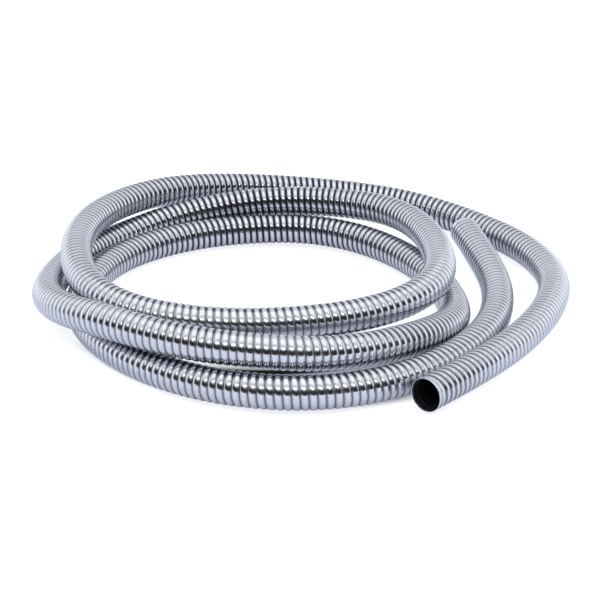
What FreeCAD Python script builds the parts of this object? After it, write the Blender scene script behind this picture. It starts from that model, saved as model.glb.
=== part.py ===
import FreeCAD, Part
import Sketcher
import math
import os

# Flexible steel wire loom: one tube, open at both ends, lying in a loose coil of three turns.
# Millimetres. +X to the right, +Y away from the side where the near end lies, +Z up,
# with the origin on the floor under the middle of the coil.

V = FreeCAD.Vector
doc = FreeCAD.newDocument("WireLoom")

# Driving sizes of the tube
tubeSizes = {
    "OutsideDiameter": 13.8,
    "WallThickness": 0.55,
}
sheet = doc.addObject("Spreadsheet::Sheet", "Sizes")
for row, (name, value) in enumerate(tubeSizes.items(), start=1):
    sheet.set(f"A{row}", name)
    sheet.set(f"B{row}", str(value))
    sheet.setAlias(f"B{row}", name)
doc.recompute()

# The coil as it lies, by the places where the tube runs furthest right, back, left and front
# in turn, from the near end to the far end. Each place has its x and y, the tube's lift off
# the floor there, its lift half way to the next place, and how full the bend to it is
# (0.55 makes a quarter of an ellipse, and more makes it squarer).
# The first and the last place lie past the tube's ends and only steer the two end bends.
turningPlaces = [
    (-89.5, -185, 0.5, 1, 0.4),
    (110.5, 12, 1, 0, 0.48),
    (19, 112, 4, 14.5, 0.58),
    (-101, 13, 17.5, 15, 0.67),
    (-31, -75, 13, 12.5, 0.54),
    (59, -10, 15, 13.5, 0.72),
    (-19, 81.5, 10.5, 1, 0.62),
    (-111, -21, 5, 15.5, 0.52),
    (-10, -102, 13.5, 8.5, 0.45),
    (64.5, -27, 0, 0, 0.53),
    (-6, 71, 1, 0, 0.62),
    (-97, -20, 1, 0, 0.49),
    (-4, -112, 1, 0, 0.49),
    (84.5, -7, 0, 4, 0.36),
    (49, 117, 1, 1, 0.5),
]

# How far along each bend the points of the route lie
firstShares = (0.523, 0.635, 0.755, 0.878)
bendShares = (0, 0.25, 0.5, 0.75)
lastShares = (0, 0.24, 0.44)
# Each arc takes this share of the shorter run beside its point
arcShare = 0.45


def bendPoint(index, share):
    """A point on the bend from one turning place to the next, for the tube's centre."""
    x0, y0, lift, halfLift, fullness = turningPlaces[index]
    x1, y1, nextLift = turningPlaces[index + 1][:3]
    cornerX, cornerY = (x1, y0) if index % 2 == 0 else (x0, y1)
    rest = 1 - share
    w0 = rest**3 + 3 * rest**2 * share * (1 - fullness)
    w1 = share**3 + 3 * rest * share**2 * (1 - fullness)
    wCorner = 1 - w0 - w1
    if share < 0.5:
        height = lift + (halfLift - lift) * 2 * share
    else:
        height = halfLift + (nextLift - halfLift) * (2 * share - 1)
    return V(
        w0 * x0 + wCorner * cornerX + w1 * x1,
        w0 * y0 + wCorner * cornerY + w1 * y1,
        sheet.OutsideDiameter / 2 + height,
    )


def routePoints():
    """The points of the tube's route, bend after bend."""
    bends = len(turningPlaces) - 1
    points = []
    for index in range(bends):
        shares = bendShares
        if index == 0:
            shares = firstShares
        if index == bends - 1:
            shares = lastShares
        points += [bendPoint(index, share) for share in shares]
    return points


def routeWire(points):
    """Straight runs joined by arcs that touch both runs, and the arcs' radii."""
    edges = []
    radii = []
    start = points[0]
    for before, corner, after in zip(points, points[1:], points[2:]):
        way = (corner - before).normalize()
        nextWay = (after - corner).normalize()
        turn = way.getAngle(nextWay)
        reach = arcShare * min(corner.distanceToPoint(before), corner.distanceToPoint(after))
        radius = reach / math.tan(turn / 2)
        inward = (nextWay - way).normalize()
        arcStart = corner - way * reach
        arcEnd = corner + nextWay * reach
        arcMiddle = corner + inward * radius * (1 / math.cos(turn / 2) - 1)
        edges.append(Part.LineSegment(start, arcStart).toShape())
        edges.append(Part.Arc(arcStart, arcMiddle, arcEnd).toShape())
        radii.append(radius)
        start = arcEnd
    edges.append(Part.LineSegment(start, points[-1]).toShape())
    return Part.Wire(edges), radii


def makeRoute():
    wire, radii = routeWire(routePoints())
    route = doc.addObject("Part::Feature", "Route")
    route.Shape = wire
    print("radii, mm:", " ".join(f"{radius:.0f}" for radius in radii))
    print(f"tightest {min(radii) / sheet.OutsideDiameter:.1f} diameters")
    return route


def makeTube(route):
    """The ring of the tube's wall, carried along the route."""
    body = doc.addObject("PartDesign::Body", "WireLoom")
    body.Label = "wire_loom"
    section = body.newObject("Sketcher::SketchObject", "WallSection")
    section.AttachmentSupport = [(route, "Edge1")]
    section.MapMode = "NormalToEdge"
    bore = sheet.OutsideDiameter - 2 * sheet.WallThickness
    for size, expression in (
        (sheet.OutsideDiameter, "Sizes.OutsideDiameter"),
        (bore, "Sizes.OutsideDiameter - 2 * Sizes.WallThickness"),
    ):
        circle = section.addGeometry(Part.Circle(V(0, 0, 0), V(0, 0, 1), size / 2), False)
        section.addConstraint(Sketcher.Constraint("Coincident", circle, 3, -1, 1))
        number = section.addConstraint(Sketcher.Constraint("Diameter", circle, size))
        section.setExpression(f"Constraints[{number}]", expression)
    tube = body.newObject("PartDesign::AdditivePipe", "Tube")
    tube.Profile = section
    tube.Spine = (route, [f"Edge{number}" for number in range(1, len(route.Shape.Edges) + 1)])
    tube.Mode = "Standard"
    tube.Transition = "Transformed"
    return body


def checkObject(item):
    """Stops if an object of the document failed."""
    if {"Invalid", "Error"} & set(item.State):
        raise RuntimeError(f"{item.Name} failed")


route = makeRoute()
doc.recompute()
tube = makeTube(route)
doc.recompute()

for item in doc.Objects:
    checkObject(item)
shape = tube.Shape
if shape.isNull() or not shape.isValid() or len(shape.Solids) != 1:
    raise RuntimeError("the tube is not one valid solid")
sectionArea = math.pi * (sheet.OutsideDiameter - sheet.WallThickness) * sheet.WallThickness
print(f"route {route.Shape.Length:.1f} mm, volume {shape.Volume:.1f} mm3")
print(f"wall section times length {sectionArea * route.Shape.Length:.1f} mm3")

os.makedirs("parts", exist_ok=True)
shape.exportStep(f"parts/{tube.Label}.step")
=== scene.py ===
import bmesh
import bpy
import math
import numpy as np
from mathutils import Euler, Matrix, Vector


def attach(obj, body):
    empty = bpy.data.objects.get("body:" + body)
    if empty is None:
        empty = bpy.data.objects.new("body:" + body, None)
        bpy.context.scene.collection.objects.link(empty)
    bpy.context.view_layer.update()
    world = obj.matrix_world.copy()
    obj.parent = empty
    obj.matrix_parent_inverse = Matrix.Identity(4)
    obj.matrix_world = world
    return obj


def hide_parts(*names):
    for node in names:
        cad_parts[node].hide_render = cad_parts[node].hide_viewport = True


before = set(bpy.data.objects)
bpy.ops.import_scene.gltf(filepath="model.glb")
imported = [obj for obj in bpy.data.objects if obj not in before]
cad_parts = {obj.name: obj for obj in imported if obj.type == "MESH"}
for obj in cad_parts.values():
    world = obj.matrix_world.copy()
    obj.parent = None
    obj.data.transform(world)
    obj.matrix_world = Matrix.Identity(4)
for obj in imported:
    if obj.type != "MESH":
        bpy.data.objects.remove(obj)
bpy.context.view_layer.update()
print("frame loaded")

# Camera, where the photograph was taken from
cameraSettings = {
    "place": (-0.0024, -0.7349, 0.3069),
    "lookDown": 22.65,
    "roll": 0.87,
    "lens": 109.04,
    "sensor": 36,
    "seesFrom": 0.01,
    "seesTo": 50,
}


def makeCamera():
    data = bpy.data.cameras.new("photoCamera")
    data.lens = cameraSettings["lens"]
    data.sensor_width = cameraSettings["sensor"]
    data.clip_start = cameraSettings["seesFrom"]
    data.clip_end = cameraSettings["seesTo"]
    camera = bpy.data.objects.new("photoCamera", data)
    tilt = Euler((math.radians(90 - cameraSettings["lookDown"]), 0, 0)).to_matrix()
    turn = Matrix.Rotation(math.radians(cameraSettings["roll"]), 3, "Z")
    camera.matrix_world = Matrix.Translation(cameraSettings["place"]) @ (tilt @ turn).to_4x4()
    bpy.context.scene.collection.objects.link(camera)
    bpy.context.scene.camera = camera


makeCamera()
print("camera set")

# The tube's route: the places where it runs furthest right, back, left and front in turn.
# Each has x, y, lift off the floor, lift half way to the next place, and the bend's fullness.
routeSettings = {
    "diameter": 0.0138,
    "length": 1.88,
    "turningPlaces": [
        (-0.0895, -0.185, 0.0005, 0.001, 0.4),
        (0.1105, 0.012, 0.001, 0, 0.48),
        (0.019, 0.112, 0.004, 0.0145, 0.58),
        (-0.101, 0.013, 0.0175, 0.015, 0.67),
        (-0.031, -0.075, 0.013, 0.0125, 0.54),
        (0.059, -0.01, 0.015, 0.0135, 0.72),
        (-0.019, 0.0815, 0.0105, 0.001, 0.62),
        (-0.111, -0.021, 0.005, 0.0155, 0.52),
        (-0.01, -0.102, 0.0135, 0.0085, 0.45),
        (0.0645, -0.027, 0, 0, 0.53),
        (-0.006, 0.071, 0.001, 0, 0.62),
        (-0.097, -0.02, 0.001, 0, 0.49),
        (-0.004, -0.112, 0.001, 0, 0.49),
        (0.0845, -0.007, 0, 0.004, 0.36),
        (0.049, 0.117, 0.001, 0.001, 0.5),
    ],
    "firstShares": (0.523, 0.635, 0.755, 0.878),
    "bendShares": (0, 0.25, 0.5, 0.75),
    "lastShares": (0, 0.24, 0.44),
    "splineSteps": 32,
}


def bendPoint(index, share):
    places = routeSettings["turningPlaces"]
    x0, y0, lift, halfLift, fullness = places[index]
    x1, y1, nextLift = places[index + 1][:3]
    cornerX, cornerY = (x1, y0) if index % 2 == 0 else (x0, y1)
    rest = 1 - share
    w0 = rest**3 + 3 * rest**2 * share * (1 - fullness)
    w1 = share**3 + 3 * rest * share**2 * (1 - fullness)
    wCorner = 1 - w0 - w1
    if share < 0.5:
        height = lift + (halfLift - lift) * 2 * share
    else:
        height = halfLift + (nextLift - halfLift) * (2 * share - 1)
    return Vector((
        w0 * x0 + wCorner * cornerX + w1 * x1,
        w0 * y0 + wCorner * cornerY + w1 * y1,
        routeSettings["diameter"] / 2 + height,
    ))


def routePoints():
    bends = len(routeSettings["turningPlaces"]) - 1
    points = []
    for index in range(bends):
        shares = routeSettings["bendShares"]
        if index == 0:
            shares = routeSettings["firstShares"]
        if index == bends - 1:
            shares = routeSettings["lastShares"]
        points += [bendPoint(index, share) for share in shares]
    return points


def splineLine(points):
    # the smooth line that the route's points steer
    curve = bpy.data.curves.new("route", "CURVE")
    curve.dimensions = "3D"
    spline = curve.splines.new("NURBS")
    spline.points.add(len(points) - 1)
    for place, point in zip(spline.points, points):
        place.co = (*point, 1)
    spline.order_u = 3
    spline.use_endpoint_u = True
    spline.resolution_u = routeSettings["splineSteps"]
    holder = bpy.data.objects.new("route", curve)
    bpy.context.scene.collection.objects.link(holder)
    bpy.context.view_layer.update()
    mesh = bpy.data.meshes.new_from_object(holder)
    line = np.array([vertex.co for vertex in mesh.vertices], float)
    bpy.data.objects.remove(holder)
    bpy.data.meshes.remove(mesh)
    return line


# How far directions and bends are evened out along the line
lineSettings = {
    "leastGap": 1e-7,
    "wayReach": 0.004,
    "bendReach": 0.012,
    "samples": 9,
}


# The line, with what a section needs anywhere along it
class Line:
    def __init__(self, points):
        gaps = np.linalg.norm(np.diff(points, axis=0), axis=1)
        points = points[np.r_[True, gaps > lineSettings["leastGap"]]]
        gaps = np.linalg.norm(np.diff(points, axis=0), axis=1)
        self.points = points
        self.along = np.r_[0, np.cumsum(gaps)]
        self.length = self.along[-1]
        self.ways = self.smooth(np.gradient(points, self.along, axis=0), lineSettings["wayReach"])
        self.ways /= np.linalg.norm(self.ways, axis=1)[:, None]
        self.bends = self.smooth(np.gradient(self.ways, self.along, axis=0), lineSettings["bendReach"])
        self.sides = self.carriedSides()

    def smooth(self, values, reach):
        # a mean over the reach, so that the spline's steps don't show in the ribs
        steps = np.linspace(-reach, reach, lineSettings["samples"])
        return sum(self.read(values, self.along + step) for step in steps) / len(steps)

    def read(self, values, along):
        along = np.clip(along, 0, self.length)
        return np.stack([np.interp(along, self.along, values[:, k]) for k in range(3)], -1)

    def carriedSides(self):
        # a side direction carried along without twist
        side = np.cross(self.ways[0], (0, 0, 1))
        sides = []
        for way in self.ways:
            side = side - way * (side @ way)
            side = side / np.linalg.norm(side)
            sides.append(side)
        return np.array(sides)


line = Line(splineLine(routePoints()))
print(f"route read, {line.length:.4f} m")

# The wound strip: a rib each turn, with its crest near the full diameter.
# Outside a bend the strip is drawn out and its grooves are shallow. Inside it they close up.
stripSettings = {
    "ribPitch": 0.00305,
    "sides": 24,
    # one rib's section, with places across it in pitches
    "profile": (
        # across, depth drawn out, depth closed up, painted groove shade drawn out, painted groove shade
        # closed up
        (-0.35, 0.00020, 0.00028, 0.22, 1.0),
        (-0.21, 0.00006, 0.00006, 0.0, 0.18),
        (0.0, 0.0, 0.0, 0.0, 0.0),
        (0.21, 0.00006, 0.00006, 0.0, 0.18),
        (0.35, 0.00020, 0.00028, 0.22, 1.0),
        (0.5, 0.00052, 0.00056, 0.9, 1.0),
    ),
    "crestStretch": (0.75, 1.3),
    "grooveAt": 0.5,
    "plainEnd": 0.8,
    # the strip closes up between these shares of the way from a bend's outside to its inside
    "usualBend": 12.5,
    "closesFrom": 0.21,
    "closedAt": 0.35,
    # the painted groove shade keeps this share where the tube runs front to back, and is full where it runs
    # left to right, as a painted reflection of dark sides
    "leastShade": 0.55,
    # stretches of the tube where the strip lies more open or more closed than its bend makes it
    "leans": ((0.0, 0.17, -0.16), (0.56, 0.69, -0.12), (1.06, 1.165, -0.10), (1.19, 1.245, 0.22)),
    "leanFade": 0.03,
    "boreRadius": 0.0063,
    "mouthRadius": 0.00668,
    "rimRound": 0.00007,
    "lipDepth": 0.002,
    "boreFrom": 0.006,
    "boreSteadyFrom": 0.012,
    "boreStep": 0.008,
    "mergeReach": 2e-6,
    "slimmest": 1e-7,
}


def ringPoints(line, along, turn, radius):
    # places on the tube at a length along it, a turn about it and a radius
    ways = line.read(line.ways, along)
    ways /= np.linalg.norm(ways, axis=-1)[..., None]
    sides = line.read(line.sides, along)
    sides -= ways * (sides * ways).sum(-1)[..., None]
    sides /= np.linalg.norm(sides, axis=-1)[..., None]
    ups = np.cross(ways, sides)
    out = sides * np.cos(turn)[..., None] + ups * np.sin(turn)[..., None]
    return line.read(line.points, along) + out * radius[..., None], out


def closedUp(along, bend):
    # 0 where the strip is drawn out, 1 where its grooves are closed up
    inside = 0.5 + 0.5 * np.clip(bend / stripSettings["usualBend"], -1, 1)
    for start, end, lean in stripSettings["leans"]:
        reach = np.abs(along - (start + end) / 2) - (end - start) / 2
        inside = inside + lean * np.clip(1 - reach / stripSettings["leanFade"], 0, 1)
    first, last = stripSettings["closesFrom"], stripSettings["closedAt"]
    closed = np.clip((inside - first) / (last - first), 0, 1)
    return closed * closed * (3 - 2 * closed)


def stripSkin(line):
    # the outside, as one helix of ribs from end to end
    count = stripSettings["sides"]
    profile = stripSettings["profile"]
    ribs = round(line.length / stripSettings["ribPitch"])
    pitch = line.length / ribs
    rows = (ribs + 2) * len(profile)
    row, side = np.meshgrid(np.arange(rows), np.arange(count), indexing="ij")
    across, drawn, shut, drawnShade, shutShade = np.array(profile).T[:, row % len(profile)]
    turn = side / count * 2 * math.pi
    middle = (row // len(profile) - 1 + side / count) * pitch
    radius = routeSettings["diameter"] / 2
    # a crest keeps its width in a bend, and the groove beside it opens or closes
    outward = ringPoints(line, middle, turn, np.full(middle.shape, radius))[1]
    bend = (line.read(line.bends, middle) * outward).sum(-1)
    stretch = 1 - radius * bend
    stretch = np.where(across == stripSettings["grooveAt"], 1, stretch.clip(*stripSettings["crestStretch"]))
    along = np.clip(middle + across * pitch / stretch, 0, line.length)
    plain = stripSettings["plainEnd"] * pitch
    fade = np.clip(np.minimum(along, line.length - along) / plain, 0, 1) ** 2
    closed = closedUp(middle, bend)
    drop = (drawn + (shut - drawn) * closed) * fade
    places = ringPoints(line, along, turn, radius - drop)[0]
    # painted shade in the grooves, darker where the strip closes up
    grooveShade = (drawnShade + (shutShade - drawnShade) * closed) * fade
    least = stripSettings["leastShade"]
    # painted reflection: grooves of runs from left to right are darker, as if they reflected the dark sides
    grooveShade *= least + (1 - least) * np.abs(line.read(line.ways, middle)[..., 0])

    number = row * count + side
    quads = []
    for j in range(count):
        here = number[:, j]
        # the last side meets the first one a whole rib further on
        there = number[:, j + 1] if j + 1 < count else np.roll(number[:, 0], -len(profile))
        last = rows - 1 if j + 1 < count else rows - 1 - len(profile)
        quads.append(np.stack([here[:last], there[:last], there[1:last + 1], here[1:last + 1]], 1))
    quads = np.concatenate(quads)
    flat = along.ravel()[quads]
    kept = ~((flat <= 0).all(1) | (flat >= line.length).all(1))
    return places.reshape(-1, 3), quads[kept], along.ravel(), grooveShade.ravel()


def boreSkin(line):
    # the rim at both ends and the inside wall between them
    count = stripSettings["sides"]
    radius = routeSettings["diameter"] / 2
    mouth, bore = stripSettings["mouthRadius"], stripSettings["boreRadius"]
    rounded = stripSettings["rimRound"]
    inset = stripSettings["boreSteadyFrom"]
    steps = np.linspace(inset, line.length - inset, round(line.length / stripSettings["boreStep"]))
    start = [
        (0, radius),
        (0, radius - rounded),
        (0, mouth + rounded),
        (rounded, mouth),
        (stripSettings["lipDepth"], bore),
        (stripSettings["boreFrom"], bore),
    ]
    rings = start + [(step, bore) for step in steps] + [(line.length - a, r) for a, r in reversed(start)]
    along, ringRadius = np.array(rings).T
    row, side = np.meshgrid(np.arange(len(rings)), np.arange(count), indexing="ij")
    turn = side / count * 2 * math.pi
    places = ringPoints(line, along[row], turn, ringRadius[row])[0]
    number = row * count + side
    there = np.roll(number, -1, 1)
    quads = np.stack([number[:-1], number[1:], there[1:], there[:-1]], -1).reshape(-1, 4)
    inside = np.repeat((ringRadius[:-1] <= mouth) & (ringRadius[1:] <= mouth), count)
    return places.reshape(-1, 3), quads, inside, along[row].ravel()


def makeLoom(line):
    skinPlaces, skinQuads, skinAlong, skinGrooveShade = stripSkin(line)
    borePlaces, boreQuads, boreInside, boreAlong = boreSkin(line)
    mesh = bpy.data.meshes.new("wireLoom")
    places = np.concatenate([skinPlaces, borePlaces])
    quads = np.concatenate([skinQuads, boreQuads + len(skinPlaces)])
    mesh.from_pydata(places.tolist(), [], quads.tolist())
    mesh.attributes.new("along", "FLOAT", "POINT").data.foreach_set(
        "value", np.concatenate([skinAlong, boreAlong]).astype(np.float32))
    # the painted groove shade, kept on each point
    mesh.attributes.new("grooveShade", "FLOAT", "POINT").data.foreach_set(
        "value", np.concatenate([skinGrooveShade, np.zeros(len(borePlaces))]).astype(np.float32))
    slots = np.concatenate([np.zeros(len(skinQuads), int), boreInside.astype(int)])
    mesh.polygons.foreach_set("material_index", slots)

    shape = bmesh.new()
    shape.from_mesh(mesh)
    bmesh.ops.remove_doubles(shape, verts=shape.verts, dist=stripSettings["mergeReach"])
    bmesh.ops.dissolve_degenerate(shape, edges=shape.edges, dist=stripSettings["slimmest"])
    bmesh.ops.recalc_face_normals(shape, faces=shape.faces)
    shape.to_mesh(mesh)
    shape.free()
    mesh.shade_smooth()
    loom = bpy.data.objects.new("wireLoom", mesh)
    bpy.context.scene.collection.objects.link(loom)
    triangles = sum(len(face.vertices) - 2 for face in mesh.polygons)
    print(f"loom made, {triangles} triangles")
    return loom


loom = makeLoom(line)


# Shader sockets that take part in plain sums
class Value:
    def __init__(self, nodes, socket):
        self.nodes = nodes
        self.socket = socket

    def math(self, operation, *others):
        return self.nodes.add("ShaderNodeMath", {"operation": operation}, [self, *others])

    def __add__(self, other):
        return self.math("ADD", other)

    def __radd__(self, other):
        return self.math("ADD", other)

    def __sub__(self, other):
        return self.math("SUBTRACT", other)

    def __rsub__(self, other):
        return self.nodes.add("ShaderNodeMath", {"operation": "SUBTRACT"}, [other, self])

    def __mul__(self, other):
        return self.math("MULTIPLY", other)

    def __rmul__(self, other):
        return self.math("MULTIPLY", other)

    def clipped(self):
        return self.nodes.add("ShaderNodeClamp", {}, [self])

    def beside(self, name):
        # another output of the same node
        return Value(self.nodes, self.socket.node.outputs[name])

    def past(self, edge):
        # 0 before a place and 1 beyond it, with a slope between
        place, steepness = edge
        return ((self - place) * steepness).clipped()

    def before(self, edge):
        place, steepness = edge
        return ((place - self) * steepness).clipped()


class Nodes:
    def __init__(self, owner):
        owner.use_nodes = True
        self.tree = owner.node_tree
        self.tree.nodes.clear()

    def add(self, kind, settings, values=(), output=0):
        node = self.tree.nodes.new(kind)
        for name, setting in settings.items():
            setattr(node, name, setting)
        pairs = values.items() if isinstance(values, dict) else enumerate(values)
        for name, value in pairs:
            if isinstance(value, Value):
                self.tree.links.new(value.socket, node.inputs[name])
            else:
                node.inputs[name].default_value = value
        return Value(self, node.outputs[output]) if node.outputs else None


def blend(nodes, share, first, second):
    # the first colour turning into the second
    return nodes.add("ShaderNodeMix", {"data_type": "RGBA"}, {0: share, 6: first, 7: second}, output=2)


chromeSettings = {
    "crestColour": (0.80, 0.82, 0.86, 1),
    # the groove colour is painted shade
    "grooveShadeColour": (0.03, 0.03, 0.05, 1),
    "roughness": 0.12,
    "cloudScale": 60,
    "cloudDulls": 0.12,
    "grooveDulls": 0.25,
    # fine lines along the strip, so many a metre, and how far they wander
    "lineCount": 9000,
    "linesWander": 1.5,
    "wanderScale": 220,
    "linesDull": 0.08,
    "lineBump": 0.06,
    "lineDepth": 0.0002,
}


def makeChrome():
    # bright plate with fine lines along the strip, and painted shade in the grooves
    material = bpy.data.materials.new("chromeSteel")
    nodes = Nodes(material)
    along = nodes.add("ShaderNodeAttribute", {"attribute_name": "along"}, output="Fac")
    grooveShade = nodes.add("ShaderNodeAttribute", {"attribute_name": "grooveShade"}, output="Fac")
    place = nodes.add("ShaderNodeTexCoord", {}, output="Object")
    cloud = nodes.add("ShaderNodeTexNoise", {}, {
        "Vector": place, "Scale": chromeSettings["cloudScale"], "Detail": 3})
    wander = nodes.add("ShaderNodeTexNoise", {}, {
        "Vector": place, "Scale": chromeSettings["wanderScale"], "Detail": 2})
    lines = nodes.add("ShaderNodeTexNoise", {"noise_dimensions": "1D"}, {
        "W": along * chromeSettings["lineCount"] + wander * chromeSettings["linesWander"], "Detail": 2})
    # the grooves are darkened as painted shade, and are also rougher
    groove = grooveShade.clipped()
    colour = blend(nodes, groove, chromeSettings["crestColour"], chromeSettings["grooveShadeColour"])
    dull = (cloud - 0.5) * chromeSettings["cloudDulls"] + (lines - 0.5) * chromeSettings["linesDull"]
    rough = (dull + chromeSettings["roughness"] + groove * chromeSettings["grooveDulls"]).clipped()
    bump = nodes.add("ShaderNodeBump", {}, {
        "Strength": chromeSettings["lineBump"], "Distance": chromeSettings["lineDepth"], "Height": lines})
    metal = nodes.add("ShaderNodeBsdfPrincipled", {}, {
        "Base Color": colour, "Metallic": 1.0, "Roughness": rough, "Normal": bump})
    nodes.add("ShaderNodeOutputMaterial", {}, {"Surface": metal})
    return material


boreSteelSettings = {
    # near black, as painted shade inside the bore
    "colour": (0.04, 0.04, 0.05, 1),
    "metal": 0.6,
    "roughness": 0.45,
    "cloudScale": 150,
    "cloudDulls": 0.2,
    "ribBump": 0.4,
    "ribDepth": 0.0003,
}


def makeBoreSteel():
    # bare strip inside, dull, and coloured near black as painted shade inside the bore
    material = bpy.data.materials.new("boreSteel")
    nodes = Nodes(material)
    along = nodes.add("ShaderNodeAttribute", {"attribute_name": "along"}, output="Fac")
    ribs = (along * (2 * math.pi / stripSettings["ribPitch"])).math("SINE")
    bump = nodes.add("ShaderNodeBump", {}, {
        "Strength": boreSteelSettings["ribBump"], "Distance": boreSteelSettings["ribDepth"], "Height": ribs})
    place = nodes.add("ShaderNodeTexCoord", {}, output="Object")
    cloud = nodes.add("ShaderNodeTexNoise", {}, {
        "Vector": place, "Scale": boreSteelSettings["cloudScale"], "Detail": 3})
    rough = cloud * boreSteelSettings["cloudDulls"] + boreSteelSettings["roughness"]
    metal = nodes.add("ShaderNodeBsdfPrincipled", {}, {
        "Base Color": boreSteelSettings["colour"], "Metallic": boreSteelSettings["metal"],
        "Roughness": rough, "Normal": bump})
    nodes.add("ShaderNodeOutputMaterial", {}, {"Surface": metal})
    return material


loom.data.materials.append(makeChrome())
loom.data.materials.append(makeBoreSteel())
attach(loom, "root")
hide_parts("wire_loom")
routePoints()[0]
print("materials on")

# An edge below is a place and how steeply the shade changes there
floorSettings = {
    "reach": 6,
    "sink": 0.0002,
    "colour": (0.80, 0.82, 0.92, 1),
    # painted shadow colour for the paper right under the upper front turn
    "paintedShadowColour": (0.030, 0.027, 0.028, 1),
    "glow": 0.75,
    "sheen": 0.2,
    # the line of the upper front turn, as a bow on the floor
    "bowMiddle": -0.022,
    "bowFront": -0.0725,
    "bowCurve": 4.5,
    "bowEnds": (0.075, 60),
    # bounds of the painted shade, and the width of the painted shadow under the upper turn
    "shadeInner": (0.003, 250),
    "shadeOuter": (0.108, 150),
    "deepEdge": (0.0065, 400),
}


def makeFloor():
    # pale paper; the camera sees it white, and it keeps the shadow; between the front turns a painted shadow
    # is added
    reach = floorSettings["reach"]
    corners = [(-reach, -reach, 0), (reach, -reach, 0), (reach, reach, 0), (-reach, reach, 0)]
    mesh = bpy.data.meshes.new("floor")
    mesh.from_pydata(corners, [], [(0, 1, 2, 3)])
    floor = bpy.data.objects.new("floor", mesh)
    bpy.context.scene.collection.objects.link(floor)
    floor.location.z = -floorSettings["sink"]
    material = bpy.data.materials.new("paperFloor")
    nodes = Nodes(material)
    seen = nodes.add("ShaderNodeLightPath", {}, output="Is Camera Ray")
    mirrored = seen.beside("Is Glossy Ray")
    place = nodes.add("ShaderNodeTexCoord", {}, output="Object")
    side = nodes.add("ShaderNodeSeparateXYZ", {}, [place])
    back = side.beside("Y")
    reachOut = (side * side + back * back).math("SQRT")
    # painted shade between the front turns: the glow is taken off there, and right under the upper turn the
    # paper is painted near black as a painted shadow
    bow = side - floorSettings["bowMiddle"]
    inward = back - (bow * bow * floorSettings["bowCurve"] + floorSettings["bowFront"])
    ends = bow.math("ABSOLUTE").before(floorSettings["bowEnds"])
    paintedShade = reachOut.before(floorSettings["shadeOuter"]) * inward.before(floorSettings["shadeInner"]) * ends
    deepPaintedShadow = inward.math("ABSOLUTE").before(floorSettings["deepEdge"]) * ends
    paperColour = blend(nodes, deepPaintedShadow, floorSettings["colour"], floorSettings["paintedShadowColour"])
    paper = nodes.add("ShaderNodeBsdfDiffuse", {}, {"Color": paperColour})
    # the camera's glow and the sheen are taken off in the painted shade and the painted shadow
    level = seen * (1 - paintedShade) * floorSettings["glow"] + mirrored * (1 - deepPaintedShadow) * floorSettings["sheen"]
    tint = blend(nodes, mirrored, (1, 1, 1, 1), floorSettings["colour"])
    lit = nodes.add("ShaderNodeVectorMath", {"operation": "SCALE"}, {"Vector": tint, "Scale": level})
    glow = nodes.add("ShaderNodeEmission", {}, {"Color": lit})
    both = nodes.add("ShaderNodeAddShader", {}, [paper, glow])
    nodes.add("ShaderNodeOutputMaterial", {}, {"Surface": both})
    mesh.materials.append(material)


# The room, by the direction that a ray looks in
studioSettings = {
    "lowColour": (1.02, 1.05, 1.14, 1),
    "highColour": (0.70, 0.72, 0.76, 1),
    "highFrom": (0.35, 2.5),
    # a grey wall high up behind, seen along the tops of the runs that lead away
    "wallColour": (0.42, 0.45, 0.52, 1),
    "wallFoot": (0.25, 15),
    "wallTop": (0.5, 10),
    "wallBack": (0.75, 8),
    # the dark side behind the camera
    "darkColour": (0.030, 0.027, 0.028, 1),
    "darkFront": (0.12, 2.0),
    "darkFoot": (0.03, 12),
    "darkTop": (0.68, 8),
    "skyLevel": 1.0,
}


def makeStudio():
    world = bpy.data.worlds.new("studio")
    bpy.context.scene.world = world
    nodes = Nodes(world)
    way = nodes.add("ShaderNodeTexCoord", {}, output="Generated")
    back = nodes.add("ShaderNodeSeparateXYZ", {}, [way], output="Y")
    up = back.beside("Z")
    dark = back.before(studioSettings["darkFront"])
    dark = dark * up.before(studioSettings["darkTop"]) * up.past(studioSettings["darkFoot"])
    wall = up.past(studioSettings["wallFoot"]) * up.before(studioSettings["wallTop"])
    wall = wall * back.past(studioSettings["wallBack"])
    high = up.past(studioSettings["highFrom"])
    colour = blend(nodes, high, studioSettings["lowColour"], studioSettings["highColour"])
    colour = blend(nodes, wall, colour, studioSettings["wallColour"])
    colour = blend(nodes, dark, colour, studioSettings["darkColour"])
    seen = nodes.add("ShaderNodeLightPath", {}, output="Is Camera Ray")
    shown = blend(nodes, seen, colour, (1, 1, 1, 1))
    sky = nodes.add("ShaderNodeBackground", {}, {"Color": shown, "Strength": studioSettings["skyLevel"]})
    nodes.add("ShaderNodeOutputWorld", {}, {"Surface": sky})


# Name, place, width and depth, and power in watts
lampSettings = (
    ("overheadSoftbox", (0.0, 0.1, 1.1), (1.2, 0.9), 1.6),
    ("frontStrip", (0.0, -0.72, 0.78), (1.0, 0.07), 0.9),
)


def makeLamp(name, place, size, power):
    data = bpy.data.lights.new(name, "AREA")
    data.shape = "RECTANGLE"
    data.size, data.size_y = size
    data.energy = power
    lamp = bpy.data.objects.new(name, data)
    lamp.location = place
    lamp.rotation_euler = (-Vector(place)).to_track_quat("-Z", "Y").to_euler()
    bpy.context.scene.collection.objects.link(lamp)


makeFloor()
makeStudio()
for lampRow in lampSettings:
    makeLamp(*lampRow)
bpy.context.scene.view_settings.view_transform = "Standard"
print("studio ready")
